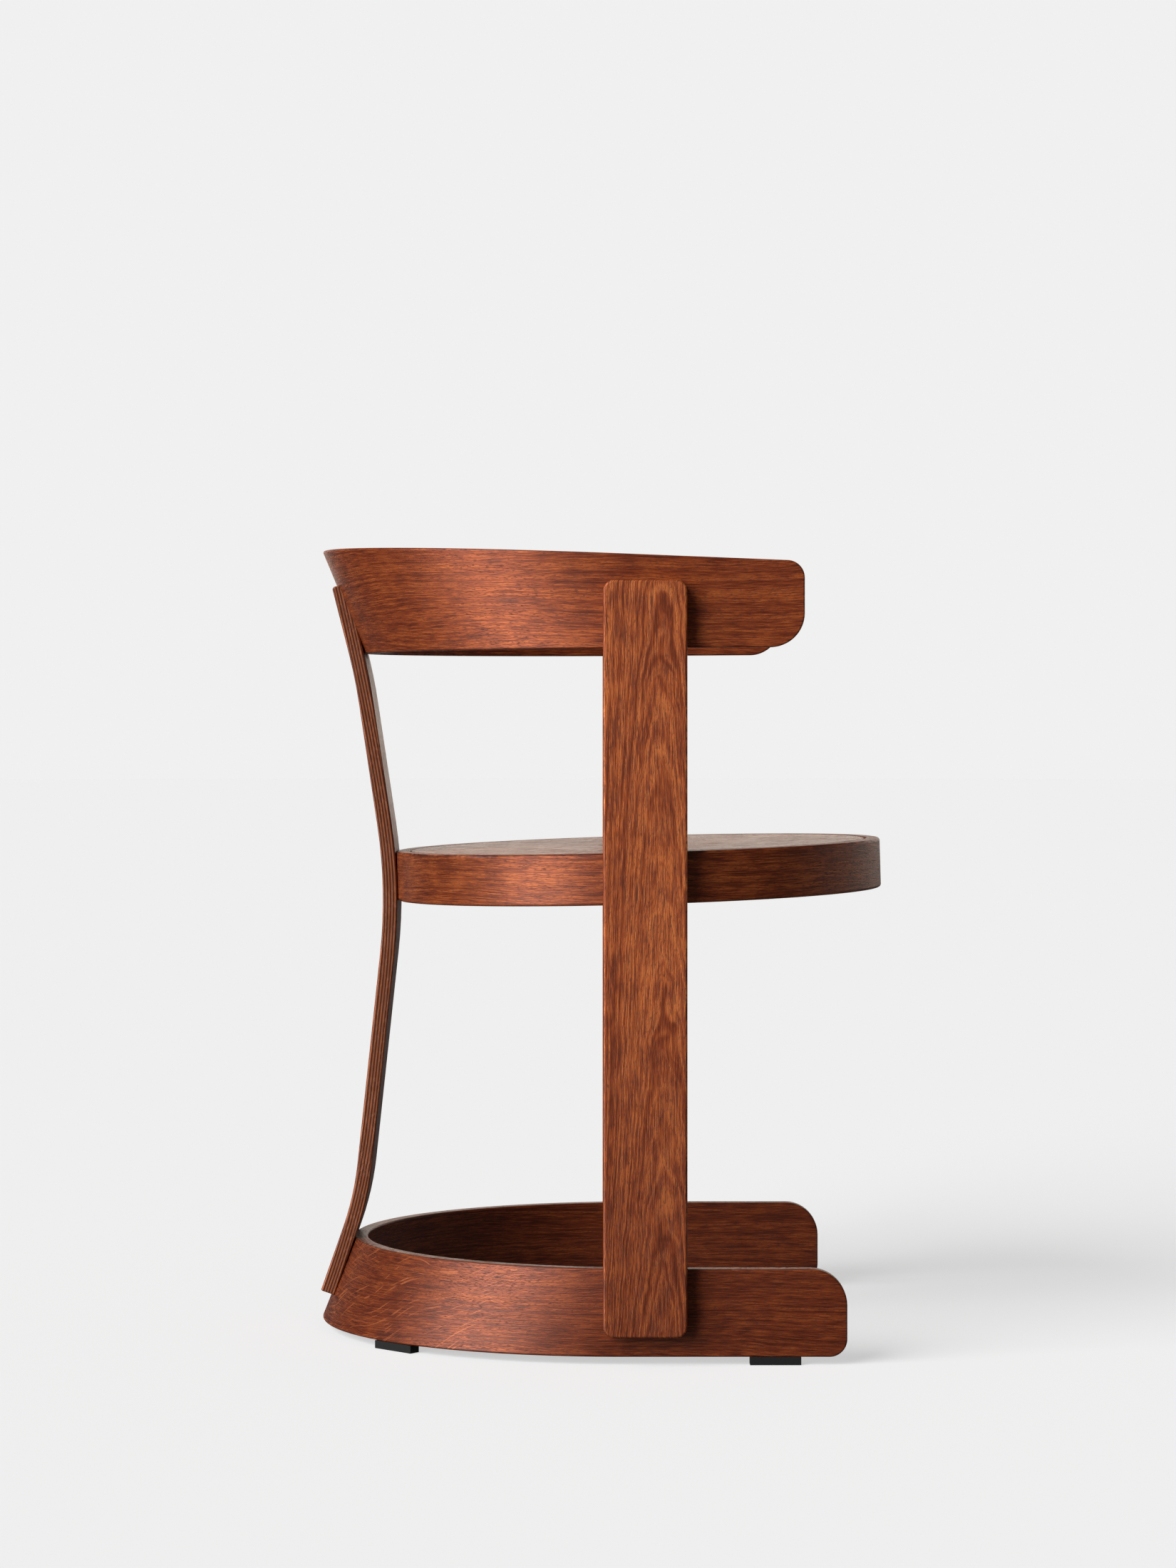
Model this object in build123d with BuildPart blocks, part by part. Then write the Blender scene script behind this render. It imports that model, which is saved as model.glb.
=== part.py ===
from build123d import *
from math import atan, atan2, cos, degrees, dist, radians, sin, sqrt, tan
import os

os.makedirs("parts", exist_ok=True)

# An armchair of bent, laminated wood.  Millimetres, +Z up, floor at Z = 0.
# The sitter faces -Y, and +X is on the sitter's left.  The origin is on the
# floor, below the middle of the overall box.

# ---- bent bands: the same plan curve is used for the arm and the base -------
half_width = 233.0          # outer faces of the parallel band sides, from X = 0
band_t = 12.5               # laminated wall thickness
curve_reach = 285.0         # centre of the back curve to its rearmost point
band_ease = 1.6             # eased long edges of the bands
back_reach = 270.1          # rearmost point of the chair

foot_h = 7.5
base_h = 79.5               # base band, bottom edge to top edge
base_lean = 21.5            # lean of the back of the base, degrees
base_front = 221.5          # front ends of the base, ahead of the origin
base_round_top = 33.0       # corner radii of the front ends
base_round_bottom = 16.0

arm_bottom = 646.8          # bottom edge of the arm band at the rearmost point
arm_bottom_rise = 0.35      # rise of the bottom edge towards the front, degrees
arm_h = 99.0                # band height at the rearmost point
arm_fall = 2.3              # fall of the top edge towards the front, degrees
arm_lean = 22.5
arm_front = 183.1
arm_round_top = 16.0
arm_round_bottom = 31.0

# ---- side posts -------------------------------------------------------------
post_w = 76.0
post_t = 18.0
post_bottom = 27.4
post_lap = 62.9             # height of arm band covered by the posts
post_y = -38.5
post_round = 10.0
post_ease = 2.2

# ---- back leg: corners of its rear face -------------------------------------
leg_w = 76.0
leg_t = 14.0
leg_ease = 1.5
leg_top_round = 3.0
leg_in_from_back = (11.2, 33.5, 63.9, 32.3, 0.7)    # ahead of the rearmost point
leg_lap = 63.4              # height of arm band covered by the leg
leg_upper_bend_down = 23.8  # below the arm band
leg_seat_bend_down = 42.7   # below the seat's top face
leg_lower_bend_up = 40.1    # above the base band
leg_bottom_z = 37.2
leg_bend_radii = (480.0, 480.0, 270.0)
bend_share = 0.45           # most of a straight run that one bend may use

# ---- round seat -------------------------------------------------------------
seat_z = 463.5              # top face above the seat centre
seat_tilt = 1.65            # the front is higher, degrees
rim_flat = 0.6              # depth of the flats that meet the posts
rim_bite = 3.4              # depth of the flat that meets the back leg
rim_t = 14.0
rim_h = 47.0
rim_ease = 2.5
panel_gap = 1.0             # shadow gap between the panel and its rim
panel_t = 12.0
panel_ease = 2.0
ledge_w = 18.0
ledge_h = 15.0

# ---- feet -------------------------------------------------------------------
foot_len = 46.5
foot_wid = 11.5
foot_ease = 0.6
front_foot_y = -156.6
rear_foot_turn = 42.5       # place along the back curve, degrees from the back

# ---- fixings ----------------------------------------------------------------
clearance = 0.2             # radial, round shanks and heads
bolt_r = 3.0
bolt_head_r = 5.5
bolt_head_h = 3.0
plug_r = 6.0
plug_h = 3.0
insert_r = 5.0
insert_len = 13.0
bolt_bite = 11.0            # length of bolt inside its insert
pair_gap = 40.0             # between the two fixings of one joint
seat_pair_gap = 28.0
rim_fix_up = 10.0            # bolt axes above the bottom of the rim
washer_r = 7.5
washer_h = 2.4
screw_r = 2.0
screw_head_r = 4.0
screw_head_h = 2.2
leg_insert_r = 4.5
leg_insert_len = 9.0
foot_screw_len = 20.0
foot_recess = 4.0
panel_screws_n = 8
panel_screw_bite = 8.0

# ---- worked-out values ------------------------------------------------------
base_top = foot_h + base_h
arm_back_top = arm_bottom + arm_h
post_top = arm_bottom + post_lap
leg_corner_z = (arm_bottom + leg_lap, arm_bottom - leg_upper_bend_down,
                seat_z - leg_seat_bend_down, base_top + leg_lower_bend_up, leg_bottom_z)
leg_rear = [(back_reach - ahead, z) for ahead, z in zip(leg_in_from_back, leg_corner_z)]


def bend_turn(before, corner, after):
    """Change of direction at a corner of the leg, in radians."""
    first = atan2(corner[0] - before[0], before[1] - corner[1])
    second = atan2(after[0] - corner[0], corner[1] - after[1])
    return abs(second - first)


leg_bends = []              # bend radii that fit the straight runs beside them
for i, radius in enumerate(leg_bend_radii, start=1):
    before, corner, after = leg_rear[i - 1:i + 2]
    turn = bend_turn(before, corner, after)
    shorter_run = min(dist(before, corner), dist(corner, after))
    leg_bends.append(min(radius, bend_share * shorter_run / tan(turn / 2) - leg_t))
seat_bend_depth = leg_bends[1] * (1 / cos(bend_turn(*leg_rear[1:4]) / 2) - 1)
leg_seat_back = leg_rear[2][0] + seat_bend_depth
rim_r = half_width + rim_flat
seat_y = leg_seat_back - leg_t + rim_bite - rim_r
base_slope = -tan(radians(base_lean))       # the curve moves forward going up
arm_slope = tan(radians(arm_lean))          # the curve moves back going up
base_centre = back_reach - curve_reach      # curve centre at the base's bottom
arm_centre = back_reach - curve_reach - (arm_back_top - arm_bottom) * arm_slope
rim_in = rim_r - rim_t
seat_plane = Plane(
    origin=(0, seat_y, seat_z),
    x_dir=(1, 0, 0),
    z_dir=(0, sin(radians(seat_tilt)), cos(radians(seat_tilt))),
)
sides_front = max(arm_front, base_front) + 100.0


def leaning_block(z0, z1, centre, slope, wall=0.0):
    """Solid inside the plan curve: half an ellipse behind straight sides.

    The curve's centre moves along Y with height, by slope."""
    across = half_width - wall
    along = curve_reach - wall * sqrt(1 + slope * slope)
    with BuildPart() as block:
        for z in (z0, z1):
            middle = centre + (z - z0) * slope
            with BuildSketch(Plane.XY.offset(z)):
                with BuildLine():
                    EllipticalCenterArc((0, middle), across, along,
                                        start_angle=0, arc_size=180)
                    Polyline((-across, middle), (-across, -sides_front),
                             (across, -sides_front), (across, middle))
                make_face()
        loft(ruled=True)
    return block.part


def side_plate(corners, rounds):
    """Side outline as (Y, Z) corners, carried right across the chair."""
    with BuildPart() as plate:
        with BuildSketch(Plane.YZ):
            with BuildLine():
                Polyline(*corners, close=True)
            make_face()
            for (y, z), radius in rounds:
                near = [v for v in vertices() if abs(v.X - y) + abs(v.Y - z) < 0.5]
                fillet(near, radius)
        extrude(amount=half_width + post_t, both=True)
    return plate.part


def pins(frames, radius, start, end):
    """Round bars along the Z axis of each frame, from start to end."""
    with BuildPart() as bars:
        for frame in frames:
            with BuildSketch(frame.offset(start)):
                Circle(radius)
            extrude(amount=end - start)
    return bars.part


def leg_front_corners():
    """Corners of the leg's front face: the rear ones moved by its thickness."""
    legs = []
    for (ya, za), (yb, zb) in zip(leg_rear, leg_rear[1:]):
        run = sqrt((yb - ya) ** 2 + (zb - za) ** 2)
        legs.append(((zb - za) / run, -(yb - ya) / run))
    front = []
    for i, (y, z) in enumerate(leg_rear):
        first = legs[max(i - 1, 0)]
        second = legs[min(i, len(legs) - 1)]
        ny, nz = first[0] + second[0], first[1] + second[1]
        scale = 2 * leg_t / (ny * ny + nz * nz)
        front.append((y + ny * scale, z + nz * scale))
    return front


def leg_blank():
    """The bent leg before it is scribed to the two bands."""
    front = leg_front_corners()
    rounds = [(leg_rear[0], leg_top_round)]
    for i, radius in enumerate(leg_bends, start=1):
        rounds.append((leg_rear[i], radius))
        rounds.append((front[i], radius + leg_t))
    with BuildPart() as blank:
        with BuildSketch(Plane.YZ):
            with BuildLine():
                Polyline(*leg_rear, *reversed(front), close=True)
            make_face()
            for (y, z), radius in rounds:
                near = [v for v in vertices() if abs(v.X - y) + abs(v.Y - z) < 0.5]
                fillet(near, radius)
        extrude(amount=leg_w / 2, both=True)
        fillet(blank.edges(), leg_ease)
    return blank.part


# ---- fixing frames: origin on the inner face, Z axis pointing outwards ------
arm_fix_z = (arm_bottom + post_top) / 2
base_fix_z = (post_bottom + base_top) / 2
rim_fix_z = seat_z - rim_h + rim_fix_up
SIDES = (-1, 1)


def post_frames(z):
    return [
        Plane(origin=(s * (half_width - band_t), post_y + d * pair_gap / 2, z),
              x_dir=(0, 1, 0), z_dir=(s, 0, 0))
        for s in SIDES for d in SIDES
    ]


def rear_inner_y(z, z0, centre, slope, x):
    """Y of a band's inner face at height z and offset x, near the back."""
    along = curve_reach - band_t * sqrt(1 + slope * slope)
    across = half_width - band_t
    return centre + (z - z0) * slope + along * sqrt(1 - (x / across) ** 2)


def leg_frames(z, z0, centre, slope):
    turn = atan(slope)
    return [
        Plane(origin=(s * pair_gap / 2,
                      rear_inner_y(z, z0, centre, slope, pair_gap / 2), z),
              x_dir=(1, 0, 0), z_dir=(0, cos(turn), -sin(turn)))
        for s in SIDES
    ]


rim_wall_x = sqrt(rim_in ** 2 - (seat_pair_gap / 2) ** 2)
arm_frames = post_frames(arm_fix_z)
base_frames = post_frames(base_fix_z)
seat_side_frames = [
    Plane(origin=(s * rim_wall_x, seat_y + d * seat_pair_gap / 2, rim_fix_z),
          x_dir=(0, 1, 0), z_dir=(s, 0, 0))
    for s in SIDES for d in SIDES
]
arm_leg_z = arm_bottom + 24.0
base_leg_z = base_top - 24.0
arm_leg_frames = leg_frames(arm_leg_z, arm_bottom, arm_centre, arm_slope)
base_leg_frames = leg_frames(base_leg_z, foot_h, base_centre, base_slope)
rim_back_z = rim_fix_z - (rim_in + rim_t) * tan(radians(seat_tilt))
seat_back_frames = [
    Plane(origin=(s * seat_pair_gap / 2, seat_y + rim_wall_x - 1.0, rim_back_z),
          x_dir=(1, 0, 0), z_dir=(0, 1, 0))
    for s in SIDES
]
post_reach = band_t + bolt_bite             # tip of a band bolt from the face
insert_start = band_t + 0.5
leg_bite = 6.0

# ---- arm band ---------------------------------------------------------------
past_back = back_reach + 60.0
arm_rise = tan(radians(arm_fall))
arm_front_top = arm_back_top - (back_reach + arm_front) * arm_rise
arm_past_top = arm_back_top + (past_back - back_reach) * arm_rise
arm_low_rise = tan(radians(arm_bottom_rise))
arm_front_low = arm_bottom + (back_reach + arm_front) * arm_low_rise
arm_past_low = arm_bottom - (past_back - back_reach) * arm_low_rise
arm_low = arm_bottom - 40.0
arm_high = arm_past_top + 10.0
arm_low_centre = arm_centre - 40.0 * arm_slope
arm_outer = leaning_block(arm_low, arm_high, arm_low_centre, arm_slope)
arm_inner = leaning_block(arm_low, arm_high, arm_low_centre, arm_slope, band_t)
arm_side = side_plate(
    [(-arm_front, arm_front_low), (past_back, arm_past_low),
     (past_back, arm_past_top), (-arm_front, arm_front_top)],
    [((-arm_front, arm_front_low), arm_round_bottom),
     ((-arm_front, arm_front_top), arm_round_top)])
arm_cuts = [
    pins(arm_frames, bolt_r + clearance, -1, band_t + 2),
    pins(arm_frames, plug_r, -1, plug_h + bolt_head_h),
    pins(arm_leg_frames, screw_r, -1, band_t + 4),
    pins(arm_leg_frames, plug_r, -2, plug_h + screw_head_h),
]
with BuildPart() as arm_band:
    add(arm_outer)
    add(arm_inner, mode=Mode.SUBTRACT)
    add(arm_side, mode=Mode.INTERSECT)
    fillet(arm_band.edges(), band_ease)
    for cut in arm_cuts:
        add(cut, mode=Mode.SUBTRACT)
arm_band.part.label = "arm_band"
export_step(arm_band.part, "parts/arm_band.step")

# ---- base band --------------------------------------------------------------
base_low = foot_h - 5.0
base_high = base_top + 25.0
base_low_centre = base_centre - 5.0 * base_slope
base_outer = leaning_block(base_low, base_high, base_low_centre, base_slope)
base_inner = leaning_block(base_low, base_high, base_low_centre, base_slope, band_t)
base_side = side_plate(
    [(-base_front, foot_h), (past_back, foot_h),
     (past_back, base_top), (-base_front, base_top)],
    [((-base_front, foot_h), base_round_bottom),
     ((-base_front, base_top), base_round_top)])
rear_turn = radians(rear_foot_turn)
mid_along = curve_reach - band_t / 2 * sqrt(1 + base_slope ** 2)
mid_across = half_width - band_t / 2
rear_foot_x = mid_across * sin(rear_turn)
rear_foot_y = base_centre + mid_along * cos(rear_turn)
rear_foot_angle = degrees(atan2(-mid_along * sin(rear_turn), mid_across * cos(rear_turn)))
foot_places = {
    "foot_front_right": (-mid_across, front_foot_y, 90.0),
    "foot_front_left": (mid_across, front_foot_y, 90.0),
    "foot_rear_right": (-rear_foot_x, rear_foot_y, -rear_foot_angle),
    "foot_rear_left": (rear_foot_x, rear_foot_y, rear_foot_angle),
}
foot_frames = [Plane(origin=(x, y, 0), x_dir=(1, 0, 0), z_dir=(0, 0, 1))
               for x, y, angle in foot_places.values()]
base_cuts = [
    pins(base_frames, bolt_r + clearance, -1, band_t + 2),
    pins(base_frames, plug_r, -1, plug_h + bolt_head_h),
    pins(base_leg_frames, screw_r, -1, band_t + 4),
    pins(base_leg_frames, plug_r, -2, plug_h + screw_head_h),
    pins(foot_frames, screw_r, foot_h - 1, foot_recess + foot_screw_len),
]
with BuildPart() as base_band:
    add(base_outer)
    add(base_inner, mode=Mode.SUBTRACT)
    add(base_side, mode=Mode.INTERSECT)
    fillet(base_band.edges(), band_ease)
    for cut in base_cuts:
        add(cut, mode=Mode.SUBTRACT)
base_band.part.label = "base_band"
export_step(base_band.part, "parts/base_band.step")

# ---- side posts -------------------------------------------------------------
insert_frames = arm_frames + base_frames
seat_bolt_tip = half_width - rim_wall_x + bolt_bite
seat_insert_start = half_width - rim_wall_x + 0.5
for side, name in ((-1, "right_post"), (1, "left_post")):
    holes = [
        pins([f for f in insert_frames if f.origin.X * side > 0], insert_r,
             band_t - 1, insert_start + insert_len),
        pins([f for f in seat_side_frames if f.origin.X * side > 0], insert_r,
             half_width - rim_wall_x - 1, seat_insert_start + insert_len),
    ]
    with BuildPart() as post:
        with BuildSketch(Plane.YZ.offset(side * half_width)):
            with Locations((post_y, (post_bottom + post_top) / 2)):
                RectangleRounded(post_w, post_top - post_bottom, post_round)
        extrude(amount=side * post_t)
        fillet(post.edges(), post_ease)
        for hole in holes:
            add(hole, mode=Mode.SUBTRACT)
    post.part.label = name
    export_step(post.part, f"parts/{name}.step")

# ---- back leg: bent, then scribed to both bands ------------------------------
leg_cuts = [
    arm_outer, base_outer,
    pins(arm_leg_frames, screw_r, band_t - 2, band_t + leg_bite),
    pins(base_leg_frames, screw_r, band_t - 2, band_t + leg_bite),
]
leg_insert_start = rim_t + 2.0
with BuildPart() as back_leg:
    add(leg_blank())
    for cut in leg_cuts:
        add(cut, mode=Mode.SUBTRACT)
    add(pins(seat_back_frames, leg_insert_r, rim_t - rim_bite - 1,
             leg_insert_start + leg_insert_len),
        mode=Mode.SUBTRACT)
back_leg.part.label = "back_leg"
export_step(back_leg.part, "parts/back_leg.step")

# ---- seat rim, with flats where it meets the posts and the leg ---------------
rim_cuts = [
    leg_blank(),
    pins(seat_side_frames, bolt_r + clearance, -1, rim_t + 4),
    pins(seat_back_frames, bolt_r + clearance, -1, rim_t + 4),
]
with BuildPart() as seat_rim:
    with BuildSketch(seat_plane):
        Circle(rim_r)
        Circle(rim_in, mode=Mode.SUBTRACT)
    extrude(amount=-rim_h)
    fillet(seat_rim.edges(), rim_ease)
    for side in SIDES:
        with BuildSketch(Plane.YZ.offset(side * half_width)):
            with Locations((seat_y, seat_z)):
                Rectangle(post_w * 2, rim_h * 4)
        extrude(amount=side * rim_t, mode=Mode.SUBTRACT)
    for cut in rim_cuts:
        add(cut, mode=Mode.SUBTRACT)
seat_rim.part.label = "seat_rim"
export_step(seat_rim.part, "parts/seat_rim.step")

# ---- seat panel -------------------------------------------------------------
panel_r = rim_in - panel_gap
ledge_in = rim_in - ledge_w
screw_ring = rim_in - ledge_w / 2
panel_screw_frames = [
    Plane(origin=seat_plane.from_local_coords(
        (screw_ring * cos(radians(a)), screw_ring * sin(radians(a)), -panel_t - ledge_h)),
        x_dir=(1, 0, 0), z_dir=seat_plane.z_dir)
    for a in [360.0 / panel_screws_n * (i + 0.5) for i in range(panel_screws_n)]
]
panel_holes = pins(panel_screw_frames, screw_r, ledge_h - 1, ledge_h + panel_screw_bite)
with BuildPart() as seat_panel:
    with BuildSketch(seat_plane):
        Circle(panel_r)
    extrude(amount=-panel_t)
    fillet(seat_panel.faces().sort_by(Axis.Z)[-1].edges(), panel_ease)
    add(panel_holes, mode=Mode.SUBTRACT)
seat_panel.part.label = "seat_panel"
export_step(seat_panel.part, "parts/seat_panel.step")

# ---- ledge glued inside the rim, under the panel -----------------------------
ledge_holes = pins(panel_screw_frames, screw_r, -1, ledge_h + 1)
with BuildPart() as seat_ledge:
    with BuildSketch(seat_plane.offset(-panel_t)):
        Circle(rim_in)
        Circle(ledge_in, mode=Mode.SUBTRACT)
    extrude(amount=-ledge_h)
    add(ledge_holes, mode=Mode.SUBTRACT)
seat_ledge.part.label = "seat_ledge"
export_step(seat_ledge.part, "parts/seat_ledge.step")

# ---- feet -------------------------------------------------------------------
for (name, (x, y, angle)), frame in zip(foot_places.items(), foot_frames):
    foot_hole = pins([frame], screw_r, -1, foot_h + 1)
    foot_sink = pins([frame], screw_head_r + clearance, -1, foot_recess)
    with BuildPart() as foot:
        with BuildSketch(Plane.XY):
            with Locations(Location((x, y, 0), (0, 0, angle))):
                Rectangle(foot_len, foot_wid)
        extrude(amount=foot_h)
        fillet(foot.edges(), foot_ease)
        add(foot_hole, mode=Mode.SUBTRACT)
        add(foot_sink, mode=Mode.SUBTRACT)
    foot.part.label = name
    export_step(foot.part, f"parts/{name}.step")


# ---- fixings: one file for each group of identical pieces --------------------
def save_group(name, pieces):
    """Each piece is (frames, ((radius, start, end), ...)); one solid per frame."""
    with BuildPart() as group:
        for frames, steps in pieces:
            for frame in frames:
                for radius, start, end in steps:
                    with BuildSketch(frame.offset(start)):
                        Circle(radius)
                    extrude(amount=end - start)
    group.part.label = name
    export_step(group.part, f"parts/{name}.step")


def save_inserts(name, frame_starts, radius, length, bore):
    with BuildPart() as group:
        for frames, start in frame_starts:
            for frame in frames:
                with BuildSketch(frame.offset(start)):
                    Circle(radius)
                    Circle(bore, mode=Mode.SUBTRACT)
                extrude(amount=length)
    group.part.label = name
    export_step(group.part, f"parts/{name}.step")


band_bolt = ((bolt_head_r, plug_h, plug_h + bolt_head_h), (bolt_r, plug_h, post_reach))
save_group("arm_bolts", [(arm_frames, band_bolt)])
save_group("base_bolts", [(base_frames, band_bolt)])
save_group("seat_bolts", [(seat_side_frames, (
    (bolt_head_r, -washer_h - bolt_head_h, -washer_h), (bolt_r, -washer_h, seat_bolt_tip)))])
save_group("leg_bolts", [(seat_back_frames, (
    (bolt_head_r, -washer_h - bolt_head_h, -washer_h),
    (bolt_r, -washer_h, leg_insert_start + leg_insert_len - 1)))])
band_screw = ((screw_head_r, plug_h, plug_h + screw_head_h),
              (screw_r, plug_h, band_t + leg_bite - 0.5))
save_group("arm_leg_screws", [(arm_leg_frames, band_screw)])
save_group("base_leg_screws", [(base_leg_frames, band_screw)])
save_group("foot_screws", [(foot_frames, (
    (screw_head_r, foot_recess - screw_head_h, foot_recess),
    (screw_r, foot_recess, foot_recess + foot_screw_len - 0.5)))])
save_group("panel_screws", [(panel_screw_frames, (
    (screw_head_r, -screw_head_h, 0), (screw_r, 0, ledge_h + panel_screw_bite - 0.5)))])
save_group("arm_plugs", [(arm_frames, ((plug_r, 0, plug_h),)),
                         (arm_leg_frames, ((plug_r, 0, plug_h),))])
save_group("base_plugs", [(base_frames, ((plug_r, 0, plug_h),)),
                          (base_leg_frames, ((plug_r, 0, plug_h),))])
for side, name in ((-1, "right_inserts"), (1, "left_inserts")):
    save_inserts(name, [
        ([f for f in insert_frames if f.origin.X * side > 0], insert_start),
        ([f for f in seat_side_frames if f.origin.X * side > 0], seat_insert_start),
    ], insert_r, insert_len, bolt_r)
save_inserts("leg_inserts", [(seat_back_frames, leg_insert_start)],
             leg_insert_r, leg_insert_len, bolt_r)

# ---- saddle washers between bolt heads and the round inside of the rim -------
washer_blank = pins(seat_side_frames + seat_back_frames, washer_r, -washer_h, 6)
washer_hole = pins(seat_side_frames + seat_back_frames, bolt_r, -washer_h - 1, 7)
with BuildPart() as rim_space:
    with BuildSketch(seat_plane.offset(rim_h)):
        Circle(rim_in)
    extrude(amount=-3 * rim_h)
with BuildPart() as saddle_washers:
    add(washer_blank)
    add(washer_hole, mode=Mode.SUBTRACT)
    add(rim_space.part, mode=Mode.INTERSECT)
saddle_washers.part.label = "saddle_washers"
export_step(saddle_washers.part, "parts/saddle_washers.step")
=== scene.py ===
import bpy
from math import atan, cos, radians, sin, tan
from mathutils import Matrix, Vector


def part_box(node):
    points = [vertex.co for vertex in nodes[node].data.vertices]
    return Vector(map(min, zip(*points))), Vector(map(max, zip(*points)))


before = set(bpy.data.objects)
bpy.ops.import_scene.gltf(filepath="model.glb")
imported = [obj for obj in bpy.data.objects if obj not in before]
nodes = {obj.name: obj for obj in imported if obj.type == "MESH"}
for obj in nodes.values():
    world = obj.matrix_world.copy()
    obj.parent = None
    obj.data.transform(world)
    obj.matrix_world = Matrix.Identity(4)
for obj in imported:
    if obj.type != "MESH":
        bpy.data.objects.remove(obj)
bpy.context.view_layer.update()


# ---------------------------------------------------------------------------
# Sizes in metres: boxes read from the frame, then the CAD model's own sizes
# ---------------------------------------------------------------------------
ARM_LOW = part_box("arm_band")[0]
BASE_LOW, BASE_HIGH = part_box("base_band")
POST_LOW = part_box("right_post")[0]
RIM_LOW, RIM_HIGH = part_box("seat_rim")

HALF_WIDTH = BASE_HIGH.x
SEAT_MIDDLE = (RIM_LOW + RIM_HIGH) / 2
POST_OUTSIDE = -POST_LOW.x   # outer face of either post, from the middle plane

BACK_REACH = 0.2701          # rearmost point of both bands, before their edges are eased
CURVE_REACH = 0.285          # centre of the back curve to its rearmost point
MEAN_REACH = (HALF_WIDTH + CURVE_REACH) / 2
WALL = 0.0125                # thickness of the bands
BAND_PLIES = 9
ARM_H = 0.0990
ARM_SLOPE = tan(radians(22.5))
BASE_SLOPE = -tan(radians(21.5))
# centre of the back curve, at the lowest edge of each band
BASE_CENTRE = BACK_REACH - CURVE_REACH
ARM_CENTRE = BASE_CENTRE - ARM_H * ARM_SLOPE

LEG_T = 0.014
LEG_PLIES = 10
LEG_BLEND = 0.03             # how softly one straight run passes into the next
LEG_DEPTH_SHARE = cos(atan(0.13))      # the runs lean about this much on average
# the four straight runs of the rear face: lean, and one point (height, Y)
LEG_RUNS = ((-0.3535, 0.0372, 0.2694), (-0.1075, 0.1266, 0.2378),
            (0.1503, 0.4208, 0.2062), (0.2557, 0.6230, 0.2366))


class Graph:
    """Short names for building one node tree."""

    def __init__(self, tree):
        self.tree = tree

    def node(self, kind, **settings):
        made = self.tree.nodes.new(kind)
        for key, value in settings.items():
            setattr(made, key, value)
        return made

    def put(self, socket, value):
        if hasattr(value, "links"):
            self.tree.links.new(value, socket)
        elif value is not None:
            socket.default_value = value

    def math(self, operation, a, b=None, c=None):
        made = self.node("ShaderNodeMath", operation=operation)
        for socket, value in zip(made.inputs, (a, b, c)):
            self.put(socket, value)
        return made.outputs[0]

    def add(self, a, b):
        return self.math("ADD", a, b)

    def sub(self, a, b):
        return self.math("SUBTRACT", a, b)

    def mul(self, a, b):
        return self.math("MULTIPLY", a, b)

    def smooth(self, value, low, high):
        """0 below low, 1 above high, with a smooth step between."""
        made = self.node("ShaderNodeMapRange", interpolation_type="SMOOTHSTEP")
        self.put(made.inputs["Value"], value)
        made.inputs["From Min"].default_value = low
        made.inputs["From Max"].default_value = high
        return made.outputs["Result"]

    def xyz(self, x, y, z):
        made = self.node("ShaderNodeCombineXYZ")
        for socket, value in zip(made.inputs, (x, y, z)):
            self.put(socket, value)
        return made.outputs[0]

    def split(self, vector):
        made = self.node("ShaderNodeSeparateXYZ")
        self.put(made.inputs[0], vector)
        return made.outputs

    def noise(self, vector, scale=1.0, detail=2.0, rough=0.5):
        made = self.node("ShaderNodeTexNoise")
        self.put(made.inputs["Vector"], vector)
        made.inputs["Scale"].default_value = scale
        made.inputs["Detail"].default_value = detail
        made.inputs["Roughness"].default_value = rough
        return made.outputs["Fac"]

    def mix(self, share, first, second, blend="MIX"):
        made = self.node("ShaderNodeMix", data_type="RGBA", blend_type=blend)
        self.put(made.inputs["Factor"], share)
        self.put(made.inputs[6], first)
        self.put(made.inputs[7], second)
        return made.outputs[2]

    def ramp(self, value, stops):
        made = self.node("ShaderNodeValToRGB")
        self.put(made.inputs[0], value)
        elements = made.color_ramp.elements
        while len(elements) < len(stops):
            elements.new(0.5)
        for element, (place, colour) in zip(elements, stops):
            element.position = place
            element.color = (*colour, 1)
        return made.outputs["Color"]


# ---------------------------------------------------------------------------
# Stained oak: one node group, used by every wooden material
# ---------------------------------------------------------------------------
DARK = (0.105, 0.021, 0.0065)
MIDDLE = (0.240, 0.051, 0.0140)
LIGHT = (0.440, 0.134, 0.0360)
PORE = (0.040, 0.008, 0.0030)
FLECK = (0.560, 0.200, 0.0800)
PLY_DARK = (0.075, 0.018, 0.0075)
PLY_LIGHT = (0.400, 0.140, 0.0600)

# how often each feature repeats, per metre: along the grain, across it, into the wood
WANDER = (3.0, 9.0, 1.0)
RIPPLE = (30.0, 60.0, 1.0)
FIBRES = (60.0, 1900.0, 200.0)
STREAKS = (14.0, 620.0, 60.0)
DASHES = (230.0, 1500.0, 300.0)
LONG_PORES = (34.0, 1150.0, 150.0)
PATCHES = (34.0, 60.0, 5.0)
RINGS_ACROSS = 420.0         # growth rings on quarter-sawn faces
ARCHES_ALONG = 34.0          # arches, one after another up a flat-sawn face
ARCH_SHARPNESS = 9000.0


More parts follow.
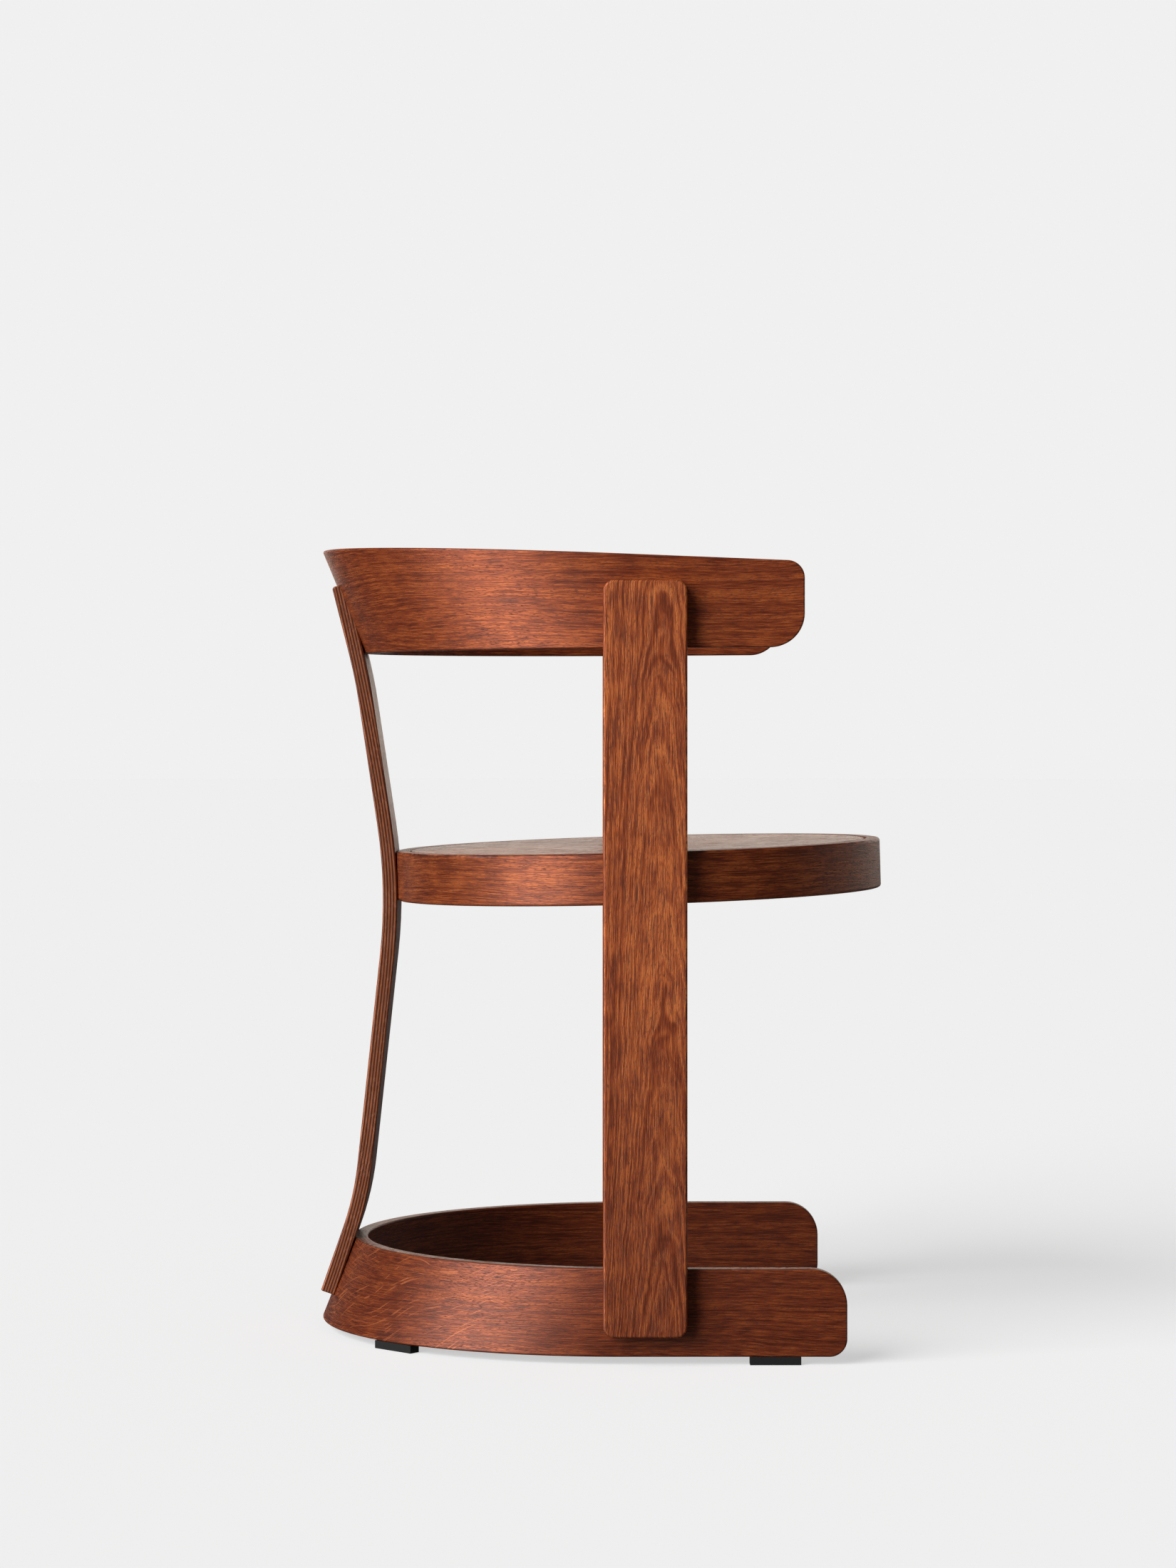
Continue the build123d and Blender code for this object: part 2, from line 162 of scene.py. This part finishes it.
def oak_group():
    """Inputs: G along the grain, A across it on the face, D into the wood, metres."""
    group = bpy.data.node_groups.new("stained_oak", "ShaderNodeTree")
    face = group.interface
    for name in ("G", "A", "D", "Figure", "Flame", "Mottle", "Lines", "Heart"):
        face.new_socket(name, in_out="INPUT", socket_type="NodeSocketFloat")
    for name, kind in (("Color", "NodeSocketColor"), ("Pores", "NodeSocketFloat"),
                       ("Height", "NodeSocketFloat")):
        face.new_socket(name, in_out="OUTPUT", socket_type=kind)
    g = Graph(group)
    given = g.node("NodeGroupInput").outputs
    along, across, deep = given["G"], given["A"], given["D"]
    figure, flame, mottle = given["Figure"], given["Flame"], given["Mottle"]

    def feature(rates, lengthways, sideways, **settings):
        stretched = [g.mul(value, rate) for value, rate in zip((lengthways, sideways, deep), rates)]
        return g.noise(g.xyz(*stretched), **settings)

    # slow wander and a fine ripple, so that no line of grain is dead straight
    slow = feature(WANDER, along, across, detail=1)
    ripple = feature(RIPPLE, along, across, detail=1)
    wander = g.add(g.mul(g.sub(slow, 0.5), g.mul(figure, 0.026)),
                   g.mul(g.sub(ripple, 0.5), g.mul(figure, 0.0012)))
    wavy = g.add(across, wander)

    # growth rings, which close into tall arches beside Heart where Flame is high
    heart = given["Heart"]
    arch = g.add(g.mul(g.mul(heart, heart), ARCH_SHARPNESS), g.mul(along, ARCHES_ALONG))
    arch = g.add(arch, g.mul(ripple, 2.5))
    straight = g.mul(wavy, RINGS_ACROSS)
    ring_place = g.add(g.mul(straight, g.sub(1.0, flame)), g.mul(arch, flame))
    ring = g.noise(g.xyz(g.mul(along, 1.2), ring_place, g.mul(deep, 30.0)), detail=2)

    # fine fibres and open pores, short dashes and a few long lines
    fibre = feature(FIBRES, along, wavy, rough=0.6)
    streak = feature(STREAKS, along, wavy)
    dash = feature(DASHES, along, wavy, detail=1)
    line = feature(LONG_PORES, along, wavy, detail=1)
    clump = g.smooth(ring, 0.38, 0.62)
    pores = g.mul(g.smooth(dash, 0.52, 0.64), g.add(0.40, g.mul(clump, 0.60)))
    lines = g.mul(g.smooth(line, 0.53, 0.64), g.mul(g.add(0.35, clump), given["Lines"]))
    pores = g.math("MAXIMUM", pores, lines)

    # soft mottling in broad patches, a little slanted, where the stain took differently
    slant = g.add(along, g.mul(across, 0.6))
    patch = feature(PATCHES, slant, across, detail=3)
    value = g.add(g.mul(streak, 0.23), g.mul(ring, 0.25))
    value = g.add(value, g.mul(g.sub(ring, 0.5), g.mul(flame, 0.22)))
    value = g.add(value, g.mul(fibre, 0.52))
    value = g.add(value, g.mul(g.sub(patch, 0.5), g.mul(mottle, 0.17)))
    colour = g.ramp(value, ((0.42, DARK), (0.50, MIDDLE), (0.60, LIGHT)))
    colour = g.mix(g.mul(pores, 0.62), colour, (*PORE, 1))
    height = g.sub(g.mul(fibre, 0.35), pores)

    out = g.node("NodeGroupOutput")
    g.put(out.inputs["Color"], colour)
    g.put(out.inputs["Pores"], pores)
    g.put(out.inputs["Height"], height)
    return group


OAK = oak_group()


def new_material(name):
    """A material with one Principled shader; returns it, its graph and the shader."""
    material = bpy.data.materials.new(name)
    material.use_nodes = True
    material.node_tree.nodes.clear()
    g = Graph(material.node_tree)
    shader = g.node("ShaderNodeBsdfPrincipled")
    out = g.node("ShaderNodeOutputMaterial")
    g.put(out.inputs["Surface"], shader.outputs["BSDF"])
    return material, g, shader


FACING = (0.80, 0.95)        # how squarely a face must look one way to count as an edge


def place(g):
    """X, Y and Z of the row frame."""
    return g.split(g.node("ShaderNodeTexCoord").outputs["Object"])


def normal(g):
    """X, Y and Z of the surface normal."""
    return g.split(g.node("ShaderNodeNewGeometry").outputs["Normal"])


def plies(g, depth, count, thickness):
    """Alternating light and dark glued layers, seen on an edge."""
    layer = g.mul(depth, count / thickness)
    band = g.math("PINGPONG", layer, 1.0)
    return g.smooth(band, 0.32, 0.68)


def finish_oak(g, shader, coords, edge=None, ply=None, figure=1.0, flame=0.0, mottle=1.0,
               lines=0.4, heart=0.0, rough=0.38, pore_rough=0.22, flecks=None, tone=None):
    """Joins face grain, flecks and edge plies, and drives the shader.

    edge is 1 where the plies show, and tone is a colour that darkens or warms the oak.
    """
    oak = g.node("ShaderNodeGroup", node_tree=OAK)
    for name, value in zip(("G", "A", "D", "Figure", "Flame", "Mottle", "Lines", "Heart"),
                           (*coords, figure, flame, mottle, lines, heart)):
        g.put(oak.inputs[name], value)
    colour = oak.outputs["Color"]
    if flecks is not None:
        colour = g.mix(flecks, colour, (*FLECK, 1))
    if edge is not None:
        along, _, deep = coords
        grainy = g.noise(g.xyz(g.mul(along, 90.0), g.mul(deep, 2600.0), 0.5), detail=3)
        layered = g.mix(ply, (*PLY_DARK, 1), (*PLY_LIGHT, 1))
        layered = g.mix(g.mul(g.smooth(grainy, 0.35, 0.7), 0.50), layered, (*PLY_DARK, 1))
        colour = g.mix(edge, colour, layered)
    if tone is not None:
        colour = g.mix(1.0, colour, tone, "MULTIPLY")
    g.put(shader.inputs["Base Color"], colour)
    uneven = g.noise(g.node("ShaderNodeTexCoord").outputs["Object"], scale=18.0, detail=3)
    roughness = g.add(rough - 0.05, g.mul(uneven, 0.10))
    roughness = g.add(roughness, g.mul(oak.outputs["Pores"], pore_rough))
    g.put(shader.inputs["Roughness"], roughness)
    bump = g.node("ShaderNodeBump")
    bump.inputs["Strength"].default_value = 0.30
    bump.inputs["Distance"].default_value = 0.0003
    g.put(bump.inputs["Height"], oak.outputs["Height"])
    g.put(shader.inputs["Normal"], bump.outputs["Normal"])
    shader.inputs["Metallic"].default_value = 0.20
    shader.inputs["Specular IOR Level"].default_value = 0.26


def band_material(name, low_z, lean, centre_low, seed, tone, flecks=False):
    """Grain follows the bent band; plies show on its cut edges."""
    material, g, shader = new_material(name)
    x, y, z = place(g)
    centre = g.add(centre_low, g.mul(g.sub(z, low_z), lean))
    past = g.sub(y, centre)
    behind = g.math("MAXIMUM", past, 0.0)
    ahead = g.math("MAXIMUM", g.mul(past, -1.0), 0.0)
    turn = g.math("ARCTAN2", g.mul(x, 1.0 / HALF_WIDTH), g.mul(behind, 1.0 / CURVE_REACH))
    sign = g.math("SIGN", x)
    along = g.add(g.mul(turn, MEAN_REACH), g.mul(ahead, sign))
    share = g.math("SQRT", g.add(g.math("POWER", g.mul(x, 1.0 / HALF_WIDTH), 2.0),
                                 g.math("POWER", g.mul(behind, 1.0 / CURVE_REACH), 2.0)))
    depth = g.mul(g.sub(1.0, share), MEAN_REACH)
    _, ny, nz = normal(g)
    flat = g.smooth(g.math("ABSOLUTE", nz), *FACING)
    front = g.mul(g.smooth(g.mul(ny, -1.0), *FACING), g.smooth(ahead, 0.02, 0.04))
    edge = g.math("MAXIMUM", flat, front)
    rays = ray_flecks(g, along, z, depth) if flecks else None
    coords = (g.add(along, seed), g.add(z, seed * 0.37), depth)
    finish_oak(g, shader, coords, edge, plies(g, depth, BAND_PLIES, WALL), figure=1.2,
               flecks=rays, tone=tone)
    return material


def ray_flecks(g, along, z, depth):
    """Thin curved pale lines of ray fleck, outside the right rear of the base."""
    bend = g.noise(g.xyz(g.mul(along, 9.0), g.mul(z, 9.0), 2.0), detail=1)
    tilt = g.add(g.add(z, g.mul(along, 0.42)), g.mul(bend, 0.070))
    fleck = g.noise(g.xyz(g.mul(along, 20.0), g.mul(tilt, 640.0), 1.0), detail=0)
    keep = g.noise(g.xyz(g.mul(along, 60.0), g.mul(z, 90.0), 7.0), detail=1)
    lines = g.mul(g.smooth(fleck, 0.60, 0.72), g.mul(g.smooth(keep, 0.40, 0.56), 0.80))
    outside = g.smooth(g.mul(depth, -1.0), -WALL / 2, -WALL / 4)
    rear = g.smooth(g.math("ABSOLUTE", along), -0.40, -0.30)
    near_back = g.sub(1.0, g.smooth(g.math("ABSOLUTE", along), 0.24, 0.32))
    return g.mul(g.mul(lines, outside), g.mul(rear, near_back))


def post_material(name, seed):
    """Grain runs up the post, with flames in its front half; the lower end is darker."""
    material, g, shader = new_material(name)
    x, y, z = place(g)
    inward = g.sub(POST_OUTSIDE, g.math("ABSOLUTE", x))
    coords = (g.add(z, seed), g.add(g.add(y, seed * 0.61), inward), inward)
    drift = g.noise(g.xyz(g.mul(z, 3.0), seed, 1.3), detail=0)
    heart = g.add(g.sub(y, POST_LOW.y + 0.020), g.mul(g.sub(drift, 0.5), 0.016))
    heart = g.add(heart, inward)
    # the colour is multiplied darker towards the lower end of the post, from 0.42 m down to 0.02 m
    lower_end_darker = g.mix(g.smooth(z, 0.02, 0.42), (0.88, 0.74, 0.66, 1), (1.40, 1.28, 1.18, 1))
    finish_oak(g, shader, coords, figure=0.6, flame=1.0, heart=heart,
               mottle=1.2, lines=1.0, tone=lower_end_darker)
    return material


def leg_material():
    """Ply stripes follow the bent side edge of the leg."""
    material, g, shader = new_material("leg_oak")
    x, y, z = place(g)
    rear = None
    for slope, height, reach in LEG_RUNS:
        line = g.add(g.mul(g.sub(z, height), slope), reach)
        rear = line if rear is None else g.math("SMOOTH_MAX", rear, line, LEG_BLEND)
    depth = g.mul(g.sub(rear, y), LEG_DEPTH_SHARE)
    edge = g.smooth(g.math("ABSOLUTE", normal(g)["X"]), *FACING)
    finish_oak(g, shader, (z, x, depth), edge, plies(g, depth, LEG_PLIES, LEG_T), figure=0.6,
               mottle=0.6, tone=(0.80, 0.70, 0.63, 1))
    return material


def rim_material():
    """Grain runs round the bent hoop."""
    material, g, shader = new_material("rim_oak")
    x, y, z = place(g)
    turn = g.math("ARCTAN2", x, g.sub(y, SEAT_MIDDLE.y))
    radius = g.math("SQRT", g.add(g.mul(x, x), g.math("POWER", g.sub(y, SEAT_MIDDLE.y), 2.0)))
    along = g.mul(turn, HALF_WIDTH)
    finish_oak(g, shader, (along, g.add(z, radius), radius), mottle=1.2,
               tone=(0.84, 0.68, 0.56, 1))
    return material


def panel_material():
    """Grain runs from front to back over the flat seat."""
    material, g, shader = new_material("panel_oak")
    x, y, z = place(g)
    finish_oak(g, shader, (y, x, z), figure=1.4, mottle=2.0, lines=1.0,
               rough=0.27, pore_rough=0.50)
    return material


def plain_material(name, colour, metal, rough):
    """Metal or rubber with a fine, faintly uneven surface."""
    material, g, shader = new_material(name)
    spot = g.noise(g.node("ShaderNodeTexCoord").outputs["Object"], scale=400.0, detail=3)
    darker = tuple(c * 0.7 for c in colour)
    g.put(shader.inputs["Base Color"], g.mix(spot, (*darker, 1), (*colour, 1)))
    g.put(shader.inputs["Roughness"], g.add(rough - 0.08, g.mul(spot, 0.16)))
    shader.inputs["Metallic"].default_value = metal
    shader.inputs["Specular IOR Level"].default_value = 0.5 if metal else 0.2
    bump = g.node("ShaderNodeBump")
    bump.inputs["Strength"].default_value = 0.25
    bump.inputs["Distance"].default_value = 0.0002
    g.put(bump.inputs["Height"], spot)
    g.put(shader.inputs["Normal"], bump.outputs["Normal"])
    return material


arm_oak = band_material("arm_oak", ARM_LOW.z, ARM_SLOPE, ARM_CENTRE, 0.9,
                        (0.91, 0.70, 0.55, 1))
base_oak = band_material("base_oak", BASE_LOW.z, BASE_SLOPE, BASE_CENTRE, 2.3,
                         (0.61, 0.44, 0.33, 1), flecks=True)
steel = plain_material("zinc_steel", (0.55, 0.55, 0.56), 1.0, 0.35)
brass = plain_material("insert_brass", (0.72, 0.50, 0.22), 1.0, 0.35)
black_rubber = plain_material("black_rubber", (0.007, 0.007, 0.008), 0.0, 0.75)

looks = {
    "arm_band": arm_oak, "arm_plugs": arm_oak,
    "base_band": base_oak, "base_plugs": base_oak,
    "right_post": post_material("right_post_oak", 0.0),
    "left_post": post_material("left_post_oak", 3.1),
    "back_leg": leg_material(),
    "seat_rim": rim_material(),
    "seat_panel": panel_material(),
}
looks["seat_ledge"] = looks["seat_rim"]
for node_name, piece in nodes.items():
    if node_name in looks:
        material = looks[node_name]
    elif node_name.startswith("foot") and node_name != "foot_screws":
        material = black_rubber
    elif "inserts" in node_name:
        material = brass
    else:
        material = steel
    for slot in piece.material_slots:
        slot.material = material

# ---------------------------------------------------------------------------
# Floor, light and camera
# ---------------------------------------------------------------------------
EYE_DISTANCE = 3.552         # camera to the chair's middle plane
EYE_HEIGHT = 0.5885
EYE_Y = 0.0025
FOCAL = 84.3                 # on the 36 mm long side of the frame
SHIFT = (-0.0074545, -0.0443636)       # of the frame, as shares of its long side
FLOOR_TONE = 0.46
FLOOR_GLOW = 0.53            # with the light on the floor, this matches the wall
WALL_GLOW = 0.871
AIR_GLOW = 0.13
CHAIR_MIDDLE = (0, 0, 0.45)
KEY_WAY = (0.573, -0.683, -0.454)
KEY_STRENGTH, KEY_SPREAD = 4.1, 48.0

# seen only as reflections in the lacquer: name, place, size, watts, colour
PANELS = (("sheen", (-1.80, 1.88, -0.20), (1.5, 1.8), 70, (1.0, 0.94, 0.82)),
          ("behind", (2.6, 0.0, 1.0), (5.0, 1.2), 25, (1.0, 0.89, 0.78)),
          ("side", (1.2, -3.0, 0.7), (3.0, 1.4), 9, (1.0, 0.90, 0.76)))


def make_floor():
    """A pale floor inside a wall of the same tone.  They throw no light on the chair."""
    reach, wall_top, turns = 30.0, 40.0, 96
    verts = []
    for z in (0.0, wall_top):
        for i in range(turns):
            spin = radians(360.0) * i / turns
            verts.append((reach * cos(spin), reach * sin(spin), z))
    faces = [list(range(turns))]
    for i in range(turns):
        beside = (i + 1) % turns
        faces.append((i, turns + i, turns + beside, beside))
    mesh = bpy.data.meshes.new("studio_floor")
    mesh.from_pydata(verts, [], faces)
    floor = bpy.data.objects.new("studio_floor", mesh)
    bpy.context.scene.collection.objects.link(floor)
    floor.visible_diffuse = False
    floor.visible_glossy = False
    floor.visible_shadow = False
    for name, tone, glow in (("floor_paint", FLOOR_TONE, FLOOR_GLOW),
                             ("wall_paint", 0.0, WALL_GLOW)):
        material, _, shader = new_material(name)
        shader.inputs["Base Color"].default_value = (tone, tone, tone, 1)
        shader.inputs["Roughness"].default_value = 1.0
        shader.inputs["Specular IOR Level"].default_value = 0.0
        shader.inputs["Emission Color"].default_value = (1, 1, 1, 1)
        shader.inputs["Emission Strength"].default_value = glow
        mesh.materials.append(material)
    for face in mesh.polygons:
        face.material_index = 0 if face.index == 0 else 1


def sun_light(name, direction, strength, spread):
    lamp = bpy.data.lights.new(name, "SUN")
    lamp.energy = strength
    lamp.angle = radians(spread)
    holder = bpy.data.objects.new(name, lamp)
    bpy.context.scene.collection.objects.link(holder)
    holder.rotation_euler = Vector(direction).to_track_quat("-Z", "Y").to_euler()


def area_light(name, place_at, size, power, colour):
    """A panel turned to the chair, which adds gloss but no diffuse light."""
    lamp = bpy.data.lights.new(name, "AREA")
    lamp.shape = "RECTANGLE"
    lamp.size, lamp.size_y = size
    lamp.energy = power
    lamp.color = colour
    holder = bpy.data.objects.new(name, lamp)
    bpy.context.scene.collection.objects.link(holder)
    away = Vector(CHAIR_MIDDLE) - Vector(place_at)
    holder.rotation_euler = away.to_track_quat("-Z", "Y").to_euler()
    holder.location = place_at
    holder.visible_camera = False
    holder.visible_diffuse = False


make_floor()
scene = bpy.context.scene
scene.view_settings.view_transform = "Standard"
world = bpy.data.worlds.new("studio_air")
scene.world = world
world.use_nodes = True
world.node_tree.nodes["Background"].inputs["Color"].default_value = (1, 1, 1, 1)
world.node_tree.nodes["Background"].inputs["Strength"].default_value = AIR_GLOW

sun_light("key", KEY_WAY, KEY_STRENGTH, KEY_SPREAD)
for panel in PANELS:
    area_light(*panel)

camera_data = bpy.data.cameras.new("photo_view")
camera_data.lens = FOCAL
camera_data.sensor_width = 36.0
camera_data.shift_x, camera_data.shift_y = SHIFT
camera_data.clip_end = 100.0
camera = bpy.data.objects.new("photo_view", camera_data)
scene.collection.objects.link(camera)
camera.matrix_world = Matrix.Translation((-EYE_DISTANCE, EYE_Y, EYE_HEIGHT)) @ (
    Vector((1, 0, 0)).to_track_quat("-Z", "Y").to_matrix().to_4x4())
scene.camera = camera
